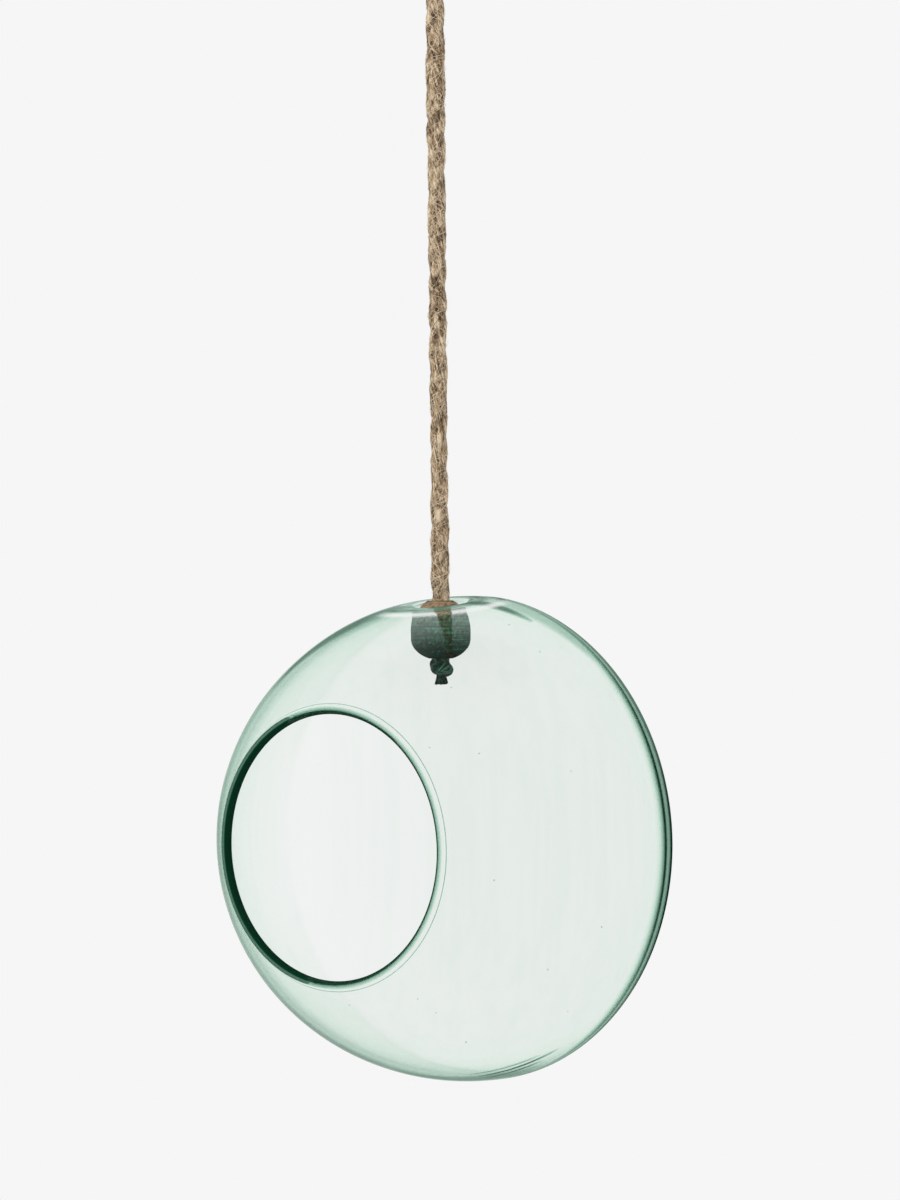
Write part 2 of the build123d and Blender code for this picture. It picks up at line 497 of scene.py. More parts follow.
# Colours of bare jute, and of the dark green jute below the hole, by their shade
jute_stops = [
    (0.10, (0.070, 0.041, 0.020)),
    (0.32, (0.185, 0.117, 0.062)),
    (0.52, (0.375, 0.258, 0.150)),
    (0.74, (0.58, 0.430, 0.275)),
    (0.96, (0.88, 0.730, 0.530)),
]
dark_green_jute_stops = [
    (0.10, (0.001, 0.010, 0.006)),
    (0.40, (0.006, 0.042, 0.025)),
    (0.65, (0.024, 0.100, 0.064)),
    (0.95, (0.110, 0.270, 0.190)),
]
jute = make_jute("jute", jute_stops)
dark_green_jute = make_jute("dark_green_jute", dark_green_jute_stops)


# Line that a rope follows, read from the smooth spline that its route's points draw
def read_route(points, detail):
    curve = bpy.data.curves.new("route", "CURVE")
    curve.dimensions = "3D"
    curve.resolution_u = detail
    spline = curve.splines.new("NURBS")
    spline.points.add(len(points) - 1)
    for point, place in zip(spline.points, points):
        point.co = (*place, 1)
    spline.order_u = 3
    spline.use_endpoint_u = True
    holder = bpy.data.objects.new("route", curve)
    mesh = bpy.data.meshes.new_from_object(holder)
    line = np.array([v.co[:] for v in mesh.vertices])
    bpy.data.meshes.remove(mesh)
    bpy.data.objects.remove(holder)
    bpy.data.curves.remove(curve)
    return line


# The same line in even steps
def even_steps(line, step):
    lengths = np.linalg.norm(np.diff(line, axis=0), axis=1)
    along = np.concatenate([[0], np.cumsum(lengths)])
    count = max(2, int(round(along[-1] / step)) + 1)
    places = np.linspace(0, along[-1], count)
    return np.stack([np.interp(places, along, line[:, k]) for k in range(3)], axis=1), places


# Two cross directions at every point of a line, carried along it without twist
def carry_frames(line):
    tangents = np.gradient(line, axis=0)
    tangents /= np.linalg.norm(tangents, axis=1)[:, None]
    upright = abs(tangents[0][2]) >= 0.9
    start = np.cross(tangents[0], (1, 0, 0) if upright else (0.31, 0.2, 0.93))
    side = start / np.linalg.norm(start)
    sides = []
    for tangent in tangents:
        side = side - tangent * np.dot(side, tangent)
        side = side / np.linalg.norm(side)
        sides.append(side)
    sides = np.array(sides)
    return sides, np.cross(tangents, sides)


# Faces of a skin with a ring of points at each step, closed at both ends
def skin_faces(rings, sides, first):
    faces = []
    for i in range(rings - 1):
        for j in range(sides):
            k = (j + 1) % sides
            a = first + i * sides
            faces.append((a + j, a + k, a + sides + k, a + sides + j))
    faces.append(tuple(first + j for j in reversed(range(sides))))
    faces.append(tuple(first + (rings - 1) * sides + j for j in range(sides)))
    return faces


# Collects the points, faces and fibre values of one rope
class RopeMesh:
    def __init__(self):
        self.points = []
        self.faces = []
        self.fibre = []
        self.tone = []

    def add_tube(self, rings, fibre, tone):
        count, sides = rings.shape[:2]
        self.faces += skin_faces(count, sides, len(self.points))
        self.points += rings.reshape(-1, 3).tolist()
        self.fibre += fibre.reshape(-1, 3).tolist()
        self.tone += np.asarray(tone).reshape(-1).tolist()

    def finish(self, name, material):
        extra = {"fibre": ("FLOAT_VECTOR", self.fibre), "tone": ("FLOAT", self.tone)}
        return add_piece(name, self.points, self.faces, material, extra)


# Smooth random wave along a length, given by its amount and by waves per metre
def wander(places, wave, seed):
    amount, per_metre = wave
    return amount * np.array([noise.noise((x * per_metre, seed * 7.31, seed * 1.7)) for x in places]) * 2


# Laid rope: soft strands wound round the line, pressed together, with a rough fibrous skin
def lay_rope(rope, line, seed):
    steps, along = even_steps(line, rope_step)
    sides, ups = carry_frames(steps)
    around = np.linspace(0, tau, rope_sides, endpoint=False)
    fullness = rope_fullness + wander(along, slow_swell, seed) + wander(along, quick_swell, seed + 5)
    radius = rope_diameter / 2 * fullness
    turn = tau * along / rope_pitch + wander(along, twist_change, seed + 9)
    swell = 1 + wander(along, groove_change, seed + 3)
    rings = np.zeros((len(steps), rope_sides, 3))
    fibre = np.zeros_like(rings)
    tone = np.zeros(rings.shape[:2])
    surface = np.zeros(rings.shape[:2])
    for i, s in enumerate(along):
        strand = (around - turn[i]) / tau * rope_strands
        offset = strand - np.round(strand)
        groove = np.abs(2 * offset) ** 3
        turned = offset * tau / rope_strands
        half_chord = np.sqrt(strand_size**2 - (strand_place * np.sin(turned)) ** 2)
        lobe = strand_place * np.cos(turned) + half_chord
        slant = around + skin_slant * s
        rough = np.zeros(rope_sides)
        for j in range(rope_sides):
            x, y = cos(slant[j]), sin(slant[j])
            coarse = noise.noise((x * coarse_grain[0], y * coarse_grain[0], s * coarse_grain[1] + seed))
            fine = noise.noise((x * fine_grain[0] + seed, y * fine_grain[0], s * fine_grain[1]))
            rough[j] = coarse_roughness * coarse + fine_roughness * fine
            # Tone of the skin, with painted shade in the grooves between the strands
            tone[i, j] = skin_tone + coarse_tone * coarse - groove_painted_shade * groove[j] * (0.7 + fine)
        surface[i] = radius[i] * (1 - (1 - lobe) * swell[i] + rough)
        spoke = np.cos(around)[:, None] * sides[i] + np.sin(around)[:, None] * ups[i]
        rings[i] = steps[i] + spoke * surface[i][:, None]
        fibre[i, :, 0] = np.cos(slant) * rope_grain[0]
        fibre[i, :, 1] = np.sin(slant) * rope_grain[0] + grain_shift * seed
        fibre[i, :, 2] = s * rope_grain[1]
    rope.add_tube(rings, fibre, tone)
    return steps, sides, ups, surface


# Loose fibres that lie on the rope or stand off it
def add_fibres(rope, laid, count, kind, seed):
    steps, sides, ups, surface = laid
    lift, thickness, paleness = kind
    local = random.Random(seed)
    corners = np.linspace(0, tau, fibre_corners, endpoint=False)
    for _ in range(count):
        length = local.uniform(*fibre_lengths)
        span = int(length / rope_step)
        start = local.randrange(0, max(1, len(steps) - span - 1))
        angle = local.uniform(0, tau)
        lean = local.gauss(*fibre_lean)
        curl = local.gauss(0, fibre_curl)
        rise = lift * local.random() ** 2
        shade = np.clip(local.gauss(paleness, fibre_tone_spread), *fibre_tones)
        thin = thickness * local.uniform(*fibre_thinning)
        track = []
        for k in range(fibre_points):
            t = k / (fibre_points - 1)
            index = min(start + int(span * t), len(steps) - 1)
            turn = angle + lean * length * t + curl * t * t
            column = int(turn / tau * rope_sides) % rope_sides
            height = surface[index, column] + thin * fibre_bedding + rise * t**2
            spoke = sides[index] * (height * cos(turn)) + ups[index] * (height * sin(turn))
            track.append(steps[index] + spoke)
        track = np.array(track)
        side, up = carry_frames(track)
        taper = np.linspace(1, fibre_tip, fibre_points)
        rings = np.zeros((fibre_points, fibre_corners, 3))
        for j, corner in enumerate(corners):
            rings[:, j] = track + (side * cos(corner) + up * sin(corner)) * (thin * taper)[:, None]
        grain = np.array([local.uniform(0, 90), local.uniform(0, 90), 0])
        fibre = np.tile(grain, (fibre_points, fibre_corners, 1))
        rope.add_tube(rings, fibre, np.full((fibre_points, fibre_corners), shade))


# Piece of laid rope along a line, with loose fibres: how many, of which kind and from which seed
def make_laid_rope(name, line, seed, fibres):
    rope = RopeMesh()
    laid = lay_rope(rope, line, seed)
    for count, kind, fibre_seed in fibres:
        add_fibres(rope, laid, count, kind, fibre_seed)
    return rope.finish(name, jute)


# The rope from its stopper knot, through the bead and up into the loop's knot
def make_rope():
    lower_end = bead_foot + stub_height - rope_into_stub
    upper_end = loop_knot_low[2] + rope_into_knot
    route = [
        (0, 0, lower_end),
        (0, 0, lower_end + 6 * rope_diameter),
        (0, 0, upper_end - 6 * rope_diameter),
        (0, 0, upper_end),
    ]
    line = read_route(route, detail=24)
    piece = make_laid_rope("jute_rope", line, 1, [(1500, lying_fibre, 5), (330, standing_fibre, 6)])
    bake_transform(piece)
    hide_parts("upper_rope", "lower_rope")
    return piece, line


jute_rope, rope_line = make_rope()


# Loop over the hook: out of the knot, round the bar and back
def make_loop():
    base = loop_knot_low[2] + leg_into_knot
    neck = loop_knot_high[2] - loop_neck
    left = [
        (-leg_x, 0, base),
        (-leg_x, 0, neck),
        (-leg_x * 1.2, 0, neck + 0.016),
        (-loop_half_width, 0, -0.010),
        (-loop_half_width, 0, crown_radius * 0.62),
        (-loop_half_width * 0.55, 0, crown_radius),
    ]
    right = [(-x, y, z) for x, y, z in reversed(left)]
    line = read_route(left + right, detail=24)
    piece = make_laid_rope("rope_loop", line, 5, [(700, lying_fibre, 15), (150, standing_fibre, 16)])
    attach(piece, "hanger")
    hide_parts("hanging_loop")
    return piece


rope_loop = make_loop()


# Knot of the loop: the rope wound round its own legs
def make_loop_knot():
    low = loop_knot_low[2] + wrap_half_height
    high = loop_knot_high[2] - wrap_half_height
    reach = (loop_knot_high[0] - rope_diameter / 2) * wrap_reach_share
    points = []
    count = int(wrap_points_per_turn * wrap_turns) + 1
    for k in range(count):
        t = k / (count - 1)
        angle = tau * wrap_turns * t + wrap_start
        points.append((reach * cos(angle), reach * sin(angle), low + (high - low) * t))
    line = read_route(points, detail=12)
    piece = make_laid_rope("loop_knot_wraps", line, 9, [(700, lying_fibre, 25)])
    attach(piece, "hanger")
    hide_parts("loop_knot")
    return piece


loop_knot_wraps = make_loop_knot()


# Short end of the rope behind the loop's legs
def make_loop_tail():
    base = (0, rope_diameter, loop_knot_high[2] - tail_into_knot)
    top = (0, loop_tail_high[1] - tail_from_back, loop_tail_high[2] - tail_from_top)
    middle = (0, (base[1] + top[1]) / 2 - tail_bow, (base[2] + top[2]) / 2)
    line = read_route([base, middle, top], detail=24)
    piece = make_laid_rope("loop_tail_end", line, 13, [(160, lying_fibre, 35)])
    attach(piece, "hanger")
    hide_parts("loop_tail")
    return piece


loop_tail_end = make_loop_tail()

# Share of painted shade in the glass by how slanted a surface is seen: the dome, its inside and the turn
# into the back
dome_stops = [
    (0.25, 0.0),
    (0.45, 0.006),
    (0.58, 0.016),
    (0.65, 0.034),
    (0.735, 0.17),
    (0.785, 0.34),
    (0.85, 0.61),
    (0.90, 0.60),
    (0.95, 0.46),
    (1.0, 0.33),
]
inside_stops = [
    (0.25, 0.0),
    (0.45, 0.006),
    (0.60, 0.018),
    (0.70, 0.04),
    (0.80, 0.11),
    (0.90, 0.35),
    (1.0, 0.60),
]
turn_stops = [(0.20, 0.0), (0.36, 1.0), (0.42, 1.0), (0.58, 0.85), (0.75, 0.75), (1.0, 0.75)]

# Slants at which the painted shade of the threads and the bands and the painted reflection of the bright ring
# are seen
thread_stops = [(0.40, 0.0), (0.58, 1.0)]
band_stops = [(0.64, 0.0), (0.80, 1.0)]
glint_stops = [(0.50, 0.0), (0.60, glint_strength), (0.77, glint_strength), (0.86, 0.0)]

# Share of the dark green mix in a streak by its noise, and in a bubble by the distance from its middle
streak_stops = [(0.45, 0.0), (0.75, 0.010)]
bubble_stops = [(0.020, 0.40), (0.034, 0.0)]

# Colours of the clear glass and of the painted shade, by the share of painted shade
clear_stops = [
    (0.0, (1.0, 1.0, 1.0)),
    (0.03, (0.86, 0.975, 0.90)),
    (0.10, (0.80, 0.96, 0.87)),
    (0.30, (0.61, 0.90, 0.75)),
    (0.55, (0.42, 0.75, 0.57)),
    (1.0, (0.30, 0.60, 0.45)),
]
painted_shade_stops = [
    (0.0, (0.10, 0.40, 0.24)),
    (0.5, (0.15, 0.35, 0.24)),
    (0.78, (0.085, 0.205, 0.145)),
    (0.94, (0.005, 0.036, 0.018)),
    (1.0, (0.002, 0.025, 0.012)),
]


# Share of painted shade in the glass: its walls by slant, the painted threads, bands and edges, and the
# streaks and bubbles
def add_darkness(tree, slant):
    turn = tree.math("MULTIPLY", tree.painted("turn"), tree.curve(slant, turn_stops))
    outside = tree.math("MAXIMUM", tree.curve(slant, dome_stops), turn)
    walls = tree.mix(tree.painted("inside"), outside, tree.curve(slant, inside_stops))
    # More or less painted shade round the hole
    thick = tree.math("ADD", 1.0, tree.painted("hole"))
    dark = tree.math("MULTIPLY", walls, thick, clamp=True)
    for name, stops in (("thread", thread_stops), ("band", band_stops)):
        lines = tree.math("MULTIPLY", tree.painted(name), tree.curve(slant, stops))
        dark = tree.math("MAXIMUM", dark, lines)
    dark = tree.math("MAXIMUM", dark, tree.painted("rim"))
    crease = tree.math("MULTIPLY", tree.painted("crease"), crease_darkness)
    dark = tree.math("ADD", dark, crease)
    place = tree.place()
    streaks = tree.noise(tree.stretch(place, streak_scale), scale=1.0, detail=3, roughness=0.6)
    dark = tree.math("ADD", dark, tree.curve(streaks, streak_stops))
    cells = tree.add("TexVoronoi", {"Vector": place, "Scale": bubbles_per_metre})
    bubbles = tree.curve(cells.outputs["Distance"], bubble_stops)
    return tree.math("ADD", dark, bubbles, clamp=True)


# Glass: clear and pale green, mixed with a dark green painted shade by its share,
# and with a painted reflection on the ring round the hole
def make_glass():
    material, tree, clear = start_material("green_glass")
    slant = tree.add("LayerWeight", {"Blend": 0.5}).outputs["Facing"]
    front = tree.math("SUBTRACT", 1.0, tree.add("NewGeometry").outputs["Backfacing"])
    share = tree.math("MULTIPLY", add_darkness(tree, slant), front)
    clear_values = {
        "Base Color": tree.ramp(share, clear_stops),
        "Specular Tint": (0.05, 0.20, 0.11),
        "Transmission Weight": 1,
        "IOR": 1.5,
        "Roughness": 0,
    }
    tree.feed(clear, clear_values)
    # Dark green matte sheet of painted shade
    painted_shade_values = {"Base Color": tree.ramp(share, painted_shade_stops), "Roughness": 0.8, "Specular IOR Level": 0}
    painted_shade = tree.add("BsdfPrincipled", painted_shade_values)
    both = tree.mix_shaders(share, clear, painted_shade)
    # Painted reflection: a metallic layer mixed in on the ring round the hole
    painted_mirror_values = {"Base Color": (0.95, 0.97, 0.96), "Metallic": 1, "Roughness": 0}
    painted_mirror = tree.add("BsdfPrincipled", painted_mirror_values)
    glint = tree.math("MULTIPLY", tree.painted("glint"), tree.curve(slant, glint_stops))
    ringed = tree.mix_shaders(tree.math("MULTIPLY", glint, front), both, painted_mirror)
    tint = tree.add("VolumeAbsorption", {"Color": (0.0, 0.36, 0.14), "Density": 18.5})
    tree.feed(tree.nodes["Material Output"], {"Surface": ringed.outputs[0], "Volume": tint.outputs[0]})
    return material


glass = make_glass()

# Sizes and directions of the glass that follow from its driving sizes
inside_radius = vessel_radius - wall
inside_depth = dome_depth - wall
inside_back_depth = back_depth - back_thickness
lip_ring_radius = mouth_radius + lip_radius
mouth_angle = acos(lip_ring_radius / (vessel_radius - wall / 2))
lip_ring_depth = (dome_depth - wall / 2) * sin(mouth_angle)
station_radius = vessel_radius * sqrt(1 - (hole_station / dome_depth) ** 2)
hole_tilt = atan2(vessel_radius**2 * hole_station, dome_depth**2 * station_radius)
hole_normal = np.array((0, -sin(hole_tilt), cos(hole_tilt)))
hole_across = np.array((1.0, 0, 0))
hole_along = np.cross(hole_normal, hole_across)
hole_top = np.array((0, widest_y - hole_station, axis_z + station_radius))
hole_middle = hole_top - hole_normal * hole_flat_depth
rim_circle = hole_radius + hole_wall / 2


# Radius of the outside at a distance forward of the widest place
def outside_radius_at(s):
    depth = dome_depth if s > 0 else back_depth
    return vessel_radius * sqrt(max(0, 1 - (s / depth) ** 2))


# Radius of the inside at a distance forward of the widest place
def inside_radius_at(s):
    depth = inside_depth if s > 0 else inside_back_depth
    return inside_radius * sqrt(max(0, 1 - (s / depth) ** 2))


# Offsets of points across and along the hole, and their height above the hole's plane
def hole_offsets(points):
    apart = points - hole_middle
    return apart @ hole_across, apart @ hole_along, apart @ hole_normal


# Distance from the hole's axis on the hole's side of the vessel, and a metre elsewhere
def hole_reach(across, along, height):
    return np.where(height > -hole_side_depth, np.hypot(across, along), 1.0)


# Outside flattened softly round the hole, whatever the distance from its axis
def flatten(height, _):
    return 0.5 * (height - np.sqrt(height**2 + flat_softness**2))


# Inside thickened round the hole
def thicken(height, reach):
    t = np.clip((boss_reach[1] - reach) / (boss_reach[1] - boss_reach[0]), 0, 1)
    weight = t * t * (3 - 2 * t)
    return height + (-hole_wall - height) * weight


# Height of a turned surface over the hole's plane
def height_over(across, along, radius_at):
    height = 0.0
    for _ in range(12):
        place = hole_middle + hole_across * across + hole_along * along + hole_normal * height
        wanted = radius_at(widest_y - place[1])
        height += (wanted - hypot(place[0], place[2] - axis_z)) / cos(hole_tilt)
    return height


# Slow waves left by hand blowing, along the line from the vessel's middle
def blow(points, amount, seed):
    middle = np.array((0, widest_y - blow_middle, axis_z))
    moved = points.copy()
    for k, point in enumerate(points):
        arm = point - middle
        wave = noise.noise((point[0] * blow_waves + seed, point[1] * blow_waves, point[2] * blow_waves))
        moved[k] = point + arm / max(np.linalg.norm(arm), 1e-6) * wave * amount
    return moved


# Angle at which a surface of the wall runs into the lip's roll
def lip_angle(radius, front_depth):
    low, high = 0.0, mouth_angle
    for _ in range(40):
        a = (low + high) / 2
        apart = hypot(radius * cos(a) - lip_ring_radius, front_depth * sin(a) - lip_ring_depth)
        low, high = (a, high) if apart > lip_radius else (low, a)
    return low


# Outline from the lip back to the middle of the back, and the row where the hole's patch begins
def turned_outline(radius, front_depth, rear_depth, radius_at):
    patch_front = hole_station + patch_half_length
    patch_rear = hole_station - patch_half_length
    lip_s = front_depth * sin(lip_angle(radius, front_depth))
    front_places = np.linspace(lip_s - crease_reach / 2, patch_front, front_rows)[:-1]
    front = [(radius_at(s), s) for s in (lip_s, *front_places)]
    middle = [(radius_at(s), s) for s in np.linspace(patch_front, patch_rear, patch_rows + 1)]
    near = [(radius_at(s), s) for s in np.linspace(patch_rear, 0, near_rows)[1:]]
    back_angles = np.linspace(0, pi / 2, back_rows)[1:-1]
    back = [(radius * cos(a), -rear_depth * sin(a)) for a in back_angles]
    return front + middle + near + back, len(front)


# Points of a turned outline, one ring per entry, the first column at the top
def turn_outline(outline):
    angles = pi / 2 + np.linspace(0, tau, glass_columns, endpoint=False)
    rings = np.zeros((len(outline), glass_columns, 3))
    for i, (r, s) in enumerate(outline):
        rings[i, :, 0] = r * np.cos(angles)
        rings[i, :, 1] = widest_y - s
        rings[i, :, 2] = axis_z + r * np.sin(angles)
    return rings


# Turned grid of points, flattened or thickened round the hole
def shape_grid(outline, shape):
    grid = turn_outline(outline)
    places = grid.reshape(-1, 3)
    across, along, height = hole_offsets(places)
    change = shape(height, hole_reach(across, along, height)) - height
    return (places + change[:, None] * hole_normal).reshape(grid.shape)


# Collects the points and faces of the glass, how far inside each point lies and how much painted shade the
# lip has there
class ShellMesh:
    def __init__(self):
        self.points = []
        self.faces = []
        self.inside = []
        self.rim = []

    def add_points(self, places, inside, rim=0.0):
        start = len(self.points)
        self.points.extend([list(p) for p in places])
        self.inside.extend([inside] * len(places))
        self.rim.extend([rim] * len(places))
        return list(range(start, len(self.points)))

    def read_points(self, ring):
        return np.array([self.points[k] for k in ring])

    # Faces between two rings with as many points
    def stitch(self, one, two):
        count = len(one)
        for k in range(count):
            m = (k + 1) % count
            self.faces.append((one[k], one[m], two[m], two[k]))

    # Next ring of a surface, stitched to the last one
    def grow(self, ring, places, inside, rim=0.0):
        new = self.add_points(places, inside, rim)
        self.stitch(ring, new)
        return new

    # Turned surface, closed in the middle of the back, with a gap for the hole's patch
    def add_grid(self, grid, first, inside):
        start = self.add_points(grid.reshape(-1, 3), inside)[0]
        rows = len(grid)
        for i in range(rows - 1):
            for j in range(glass_columns):
                in_rows = first <= i < first + patch_rows
                column = (j + patch_half_columns) % glass_columns
                if in_rows and column < 2 * patch_half_columns:
                    continue
                k = (j + 1) % glass_columns
                a = start + i * glass_columns
                self.faces.append((a + j, a + k, a + glass_columns + k, a + glass_columns + j))
        last = start + (rows - 1) * glass_columns
        middle = self.add_points([grid[-1].mean(axis=0)], inside)[0]
        for j in range(glass_columns):
            self.faces.append((last + j, last + (j + 1) % glass_columns, middle))
        return start

    # Rings from the border of the gap to the circle where the hole's rim begins
    def add_patch(self, border, turns, radius_at, shape, inside):
        across, along, _ = hole_offsets(self.read_points(border))
        ring = border
        for k in range(1, patch_rings + 1):
            t = k / patch_rings
            places = []
            for a, b, turn in zip(across, along, turns):
                x = a * (1 - t) + rim_circle * cos(turn) * t
                y = b * (1 - t) + rim_circle * sin(turn) * t
                h = shape(height_over(x, y, radius_at), hypot(x, y))
                places.append(hole_middle + hole_across * x + hole_along * y + hole_normal * h)
            ring = self.grow(ring, places, inside)
        return ring

    # Half round rim of the hole
    def add_hole_rim(self, outer_rim, inner_rim, turns):
        top = self.read_points(outer_rim)
        bottom = self.read_points(inner_rim)
        outward = np.cos(turns)[:, None] * hole_across + np.sin(turns)[:, None] * hole_along
        ring = outer_rim
        for angle in np.linspace(0, pi, hole_rows)[1:-1]:
            level = (top + bottom) / 2 + (top - bottom) / 2 * cos(angle)
            ring = self.grow(ring, level - outward * (hole_wall / 2 * sin(angle)), angle / pi)
        self.stitch(ring, inner_rim)

    # Round roll of the lip, from the edge of the outside to that of the inside, with painted shade on its
    # mouth side
    def add_lip(self, outer_end, inner_end, outer_edge, inner_edge):
        start = atan2(outer_end[1] - lip_ring_depth, outer_end[0] - lip_ring_radius)
        end = atan2(inner_end[1] - lip_ring_depth, inner_end[0] - lip_ring_radius)
        end += tau if end < start else 0
        angles = np.linspace(start, end, lip_rows)[1:-1]
        roll = [(lip_ring_radius + lip_radius * cos(a), lip_ring_depth + lip_radius * sin(a)) for a in angles]
        dark = np.clip((angles - rim_dark[0]) / (rim_dark[1] - rim_dark[0]), 0, 1) * rim_darkness
        ring = outer_edge
        for row, shade in zip(turn_outline(roll), dark):
            ring = self.grow(ring, row, 0.0, shade)
        self.stitch(ring, inner_edge)


# Border of the gap in a grid, as a ring of its points
def gap_border(start, first):
    def index(i, j):
        return start + (first + i) * glass_columns + (j - patch_half_columns) % glass_columns

    wide = 2 * patch_half_columns
    loop = [index(0, j) for j in range(wide)]
    loop += [index(i, wide) for i in range(patch_rows)]
    loop += [index(patch_rows, j) for j in range(wide, 0, -1)]
    loop += [index(i, 0) for i in range(patch_rows, 0, -1)]
    return loop


# Curve that is 1 in its middle and fades to both sides, more suddenly for a higher power
def bell(distance, width, power=2):
    return np.exp(-((distance / width) ** power))


# Painted shade of threads or bands at places given by angle from the top and distance ahead of the widest
# place
def line_darkness(lines, angle, forward):
    dark = np.zeros(len(angle))
    for (angle_1, place_1, width_1), (angle_2, place_2, width_2), depth in lines:
        past = (np.degrees(angle) - angle_1 + 180) % 360 - 180
        t = past / (angle_2 - angle_1)
        line = place_1 + (place_2 - place_1) * t
        width = width_1 + (width_2 - width_1) * np.clip(t, 0, 1)
        fade = np.sqrt(np.clip(5 * t * (1 - t), 0, 1))
        dark = np.maximum(dark, depth * fade * bell(forward - line, width, 4))
    return dark


# Painted shade of the turn into the back: a line just ahead of the widest place, and more behind it on two
# sides
def turn_shade(around, forward):
    line = bell(forward - turn_ahead, turn_line_width)
    edge = np.clip((-forward - turn_edge_start) / turn_edge_run, 0, 1) * np.cos(around - turn_edge_angle) ** 2
    core = turn_darkness + turn_line_darkness * line + turn_edge_darkness * edge
    front = bell(forward - turn_ahead, turn_front_width)
    return np.where(forward > turn_ahead, front, core * bell(np.minimum(forward, 0), turn_back_width))


# Uneven painted shade of the thick glass round the hole
def hole_shade(across, along, reach):
    fast, outward = swirl_grain
    angles = np.arctan2(along, across)
    swirl = [noise.noise((fast * cos(a), fast * sin(a), r * outward)) for a, r in zip(angles, reach)]
    return (swirl_level + swirl_amount * np.array(swirl)) * np.clip((swirl_reach - reach) / swirl_fade, 0, 1)


# What is painted on the points of the glass for its material: which side is inside, the painted shade of its
# lip, crease, turn, hole, threads and bands, and the ring of painted reflection round the hole
def paint_shell(shell, places, crease_ring):
    forward = widest_y - places[:, 1]
    around = np.arctan2(places[:, 0], places[:, 2] - axis_z)
    across, along, height = hole_offsets(places)
    reach = hole_reach(across, along, height)
    outside = np.array(shell.inside) == 0
    crease = np.zeros(len(places))
    crease[crease_ring] = 1.0
    values = {
        "inside": shell.inside,
        "rim": shell.rim,
        "crease": crease,
        "turn": turn_shade(around, forward),
        "hole": hole_shade(across, along, reach),
        "thread": np.where(outside, line_darkness(glass_threads, around, forward), 0),
        "band": np.where(outside, line_darkness(outline_shade_bands, around, forward), 0),
        "glint": np.where(outside, bell(reach - glint_reach, glint_half_width, 4), 0),
    }
    return {name: ("FLOAT", value) for name, value in values.items()}


# Mesh without loose points, with all its faces turned outward
def clean_mesh(mesh):
    edited = bmesh.new()
    edited.from_mesh(mesh)
    loose = [v for v in edited.verts if not v.link_faces]
    bmesh.ops.delete(edited, geom=loose, context="VERTS")
    bmesh.ops.recalc_face_normals(edited, faces=edited.faces)
    edited.to_mesh(mesh)
    edited.free()


# The whole glass vessel as one closed mesh
def make_vessel():
    outer, outer_first = turned_outline(vessel_radius, dome_depth, back_depth, outside_radius_at)
    inner, inner_first = turned_outline(inside_radius, inside_depth, inside_back_depth, inside_radius_at)
    shell = ShellMesh()
    outer_start = shell.add_grid(shape_grid(outer, flatten), outer_first, 0.0)
    inner_start = shell.add_grid(shape_grid(inner, thicken), inner_first, 1.0)
    outer_border = gap_border(outer_start, outer_first)
    inner_border = gap_border(inner_start, inner_first)
    across, along, _ = hole_offsets(shell.read_points(outer_border))
    turns = np.arctan2(along, across)
    outer_rim = shell.add_patch(outer_border, turns, outside_radius_at, flatten, 0.0)
    inner_rim = shell.add_patch(inner_border, turns, inside_radius_at, thicken, 1.0)
    shell.add_hole_rim(outer_rim, inner_rim, turns)
    outer_edge = list(range(outer_start, outer_start + glass_columns))
    inner_edge = list(range(inner_start, inner_start + glass_columns))
    shell.add_lip(outer[0], inner[0], outer_edge, inner_edge)
    places = np.array(shell.points)
    places[:inner_start] = blow(places[:inner_start], blow_amount, seed=3.7)
    extra = paint_shell(shell, places, outer_edge)
    piece = add_piece("glass_shell", places, shell.faces, glass, extra)
    clean_mesh(piece.data)
    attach(piece, "vessel")
    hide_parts("glass_vessel")


make_vessel()

# Colours of the bead by its shade: bare wood, and the green below the hole
brown_stops = [
    (0.2, (0.085, 0.052, 0.029)),
    (0.5, (0.225, 0.145, 0.083)),
    (0.8, (0.37, 0.26, 0.16)),
]
green_stops = [
    (0.1, (0.0, 0.008, 0.004)),
    (0.5, (0.005, 0.095, 0.052)),
    (0.9, (0.08, 0.35, 0.22)),
]


# Wood: brown and bare at the top, dark green where it sits inside the glass, and with painted shade
# underneath
def make_wood():
    material, tree, shader = start_material("turned_wood")
    place = tree.place()
    grain = tree.noise(tree.stretch(place, wood_grain_scale), scale=1.0, detail=4, roughness=0.7)
    rings = tree.noise(tree.stretch(place, wood_ring_scale), scale=1.0, detail=2)
    shade = tree.uneven(0.5, ((grain, 2.6), (rings, 1.6)))
    level = tree.add("SeparateXYZ", {0: place}).outputs["Z"]
    # Painted shade underneath, darkest at the foot
    underside = (bead_foot, bead_foot + underside_height)
    under = tree.slope(level, underside, (underside_shade, 0.0))
    green = tree.ramp(tree.math("ADD", shade, under), green_stops)
    border = (bead_top - green_below_top, bead_top - brown_below_top)
    bare = tree.slope(level, border, (0.0, 1.0))
    values = {
        "Base Color": tree.mix(bare, green, tree.ramp(shade, brown_stops)),
        "Normal": tree.bump(tree.math("ADD", grain, rings), distance=0.0002),
        "Roughness": 0.8,
        "Specular IOR Level": 0.06,
    }
    tree.feed(shader, values)
    return material


wood = make_wood()


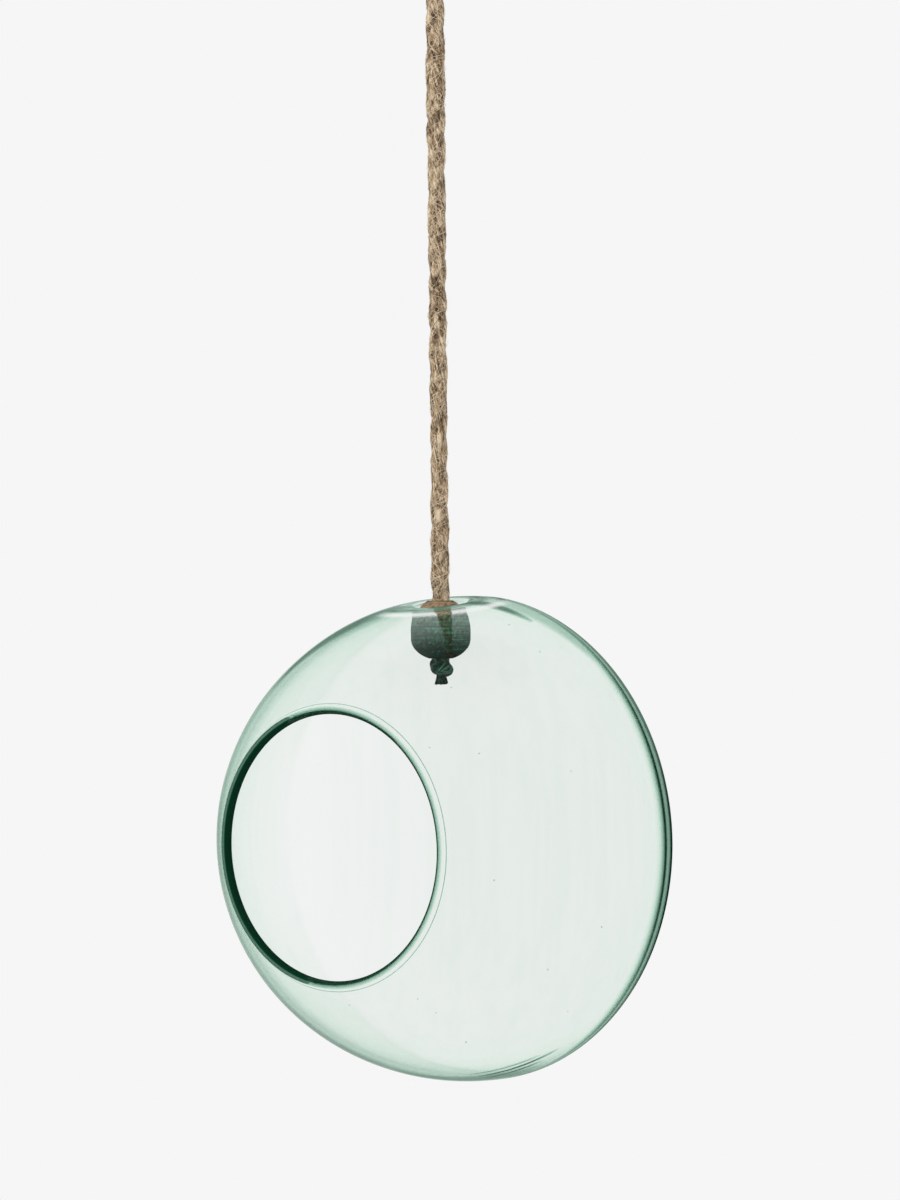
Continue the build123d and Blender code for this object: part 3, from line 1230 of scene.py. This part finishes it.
# Outline of the bead from its top to its foot: a rounded taper, a short upright side and a bowl
def bead_outline():
    taper = bead_radius - bead_top_radius
    rise = bead_top - bead_foot - bead_shoulder_height
    arc = (taper**2 + rise**2) / (2 * taper)
    sweep = asin(rise / arc)
    shoulder_z = bead_foot + bead_shoulder_height
    foot_angle = acos(bead_foot_radius / bead_radius)
    bowl_top = bead_foot + bead_bowl_depth * sin(foot_angle)
    taper_angles = np.linspace(sweep, 0, bead_rows)
    upper = [(bead_radius - arc + arc * cos(a), shoulder_z + arc * sin(a)) for a in taper_angles]
    side = [(bead_radius, z) for z in np.linspace(shoulder_z, bowl_top, bead_side_rows)[1:-1]]
    bowl_angles = np.linspace(0, foot_angle, bead_rows)
    bowl = [(bead_radius * cos(a), bowl_top - bead_bowl_depth * sin(a)) for a in bowl_angles]
    return upper + side + bowl


# Bead: its outline turned, with fine turning grooves and the rope's bore
def make_bead():
    ring = []
    for r, z in bead_outline():
        fine = fine_groove[0] * noise.noise((0, 0, z * fine_groove[1]))
        broad = broad_groove[0] * noise.noise((5, 0, z * broad_groove[1]))
        ring.append((r + fine + broad, z))
    ring += [(bead_bore_radius, bead_foot), (bead_bore_radius, bead_top)]
    turns = [tau * j / bead_columns for j in range(bead_columns)]
    points = [(r * cos(turn), r * sin(turn), z) for r, z in ring for turn in turns]
    faces = []
    for i in range(len(ring)):
        a = i * bead_columns
        b = (i + 1) % len(ring) * bead_columns
        for j in range(bead_columns):
            k = (j + 1) % bead_columns
            faces.append((a + k, a + j, b + j, b + k))
    piece = add_piece("bead_turned", points, faces, wood)
    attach(piece, "bead")
    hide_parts("wooden_bead")


make_bead()


# Round cord along a line, with a fibrous skin
def add_cord(rope, line, radius, twist, seed):
    steps, along = even_steps(line, rope_step)
    sides, ups = carry_frames(steps)
    around = np.linspace(0, tau, cord_sides, endpoint=False)
    rings = np.zeros((len(steps), cord_sides, 3))
    fibre = np.zeros_like(rings)
    tone = np.zeros(rings.shape[:2])
    fast, lengthwise = cord_ridge_grain
    for i, s in enumerate(along):
        for j, angle in enumerate(around):
            x, y = cos(angle + twist * s), sin(angle + twist * s)
            ridge = noise.noise((x * fast + seed, y * fast, s * lengthwise))
            reach = radius * (1 + cord_ridge * ridge)
            rings[i, j] = steps[i] + (sides[i] * cos(angle) + ups[i] * sin(angle)) * reach
            fibre[i, j] = (x * cord_grain[0], y * cord_grain[0] + grain_shift * seed, s * cord_grain[1])
            tone[i, j] = 0.5 + 0.5 * ridge
    rope.add_tube(rings, fibre, tone)


# Stopper knot: one strand tied in a tight overhand knot, drawn as a three-lobed knot line that leans
def make_stopper_knot():
    middle_z = (stopper_low[2] + stopper_high[2]) / 2
    across = stopper_high[0]
    high = (stopper_high[2] - stopper_low[2]) / 2
    strand = high * knot_strand_share
    lobe = high - strand
    ring = (across - strand) / (1 + knot_swing)
    points = []
    for k in range(knot_steps + 1):
        t = tau * k / knot_steps
        reach = ring * (1 + knot_swing * cos(3 * t))
        turn = 2 * t + knot_turn
        x, y = reach * cos(turn), reach * sin(turn)
        sideways = x * cos(knot_lean_angle) + y * sin(knot_lean_angle)
        points.append((x, y, middle_z + lobe * sin(3 * t) - knot_lean * sideways))
    rope = RopeMesh()
    add_cord(rope, read_route(points, detail=10), strand, twist=420, seed=3)
    stub = [(0, 0, middle_z), (0, 0, bead_foot), (0, 0, bead_foot + stub_height)]
    add_cord(rope, read_route(stub, detail=10), stub_radius, twist=300, seed=8)
    piece = rope.finish("stopper_knot_strand", dark_green_jute)
    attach(piece, "lower_rope")
    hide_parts("stopper_knot")


make_stopper_knot()


# Frayed tail: loose yarns that open out under the knot
def make_rope_tail():
    local = random.Random(21)
    rope = RopeMesh()
    spread = tail_high[0] - tail_margin
    neck = spread * tail_neck_share
    top = tail_high[2] + yarn_into_knot
    for k in range(tail_yarns):
        turn = local.uniform(0, tau)
        start = neck * sqrt(local.random())
        end = min(spread, start * yarn_flare + yarn_apart)
        drop = (tail_high[2] - tail_low[2]) * local.uniform(*yarn_drops)
        bend = local.uniform(-yarn_bend, yarn_bend)
        points = []
        for t in (0, 0.35, 0.7, 1.0):
            reach = start + (end - start) * t**1.5
            angle = turn + bend * t
            points.append((reach * cos(angle), reach * sin(angle), top - (drop + yarn_into_knot) * t))
        add_cord(rope, read_route(points, detail=8), local.uniform(*yarn_radii), twist=700, seed=40 + k)
    piece = rope.finish("frayed_tail", dark_green_jute)
    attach(piece, "lower_rope")
    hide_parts("rope_tail")


make_rope_tail()
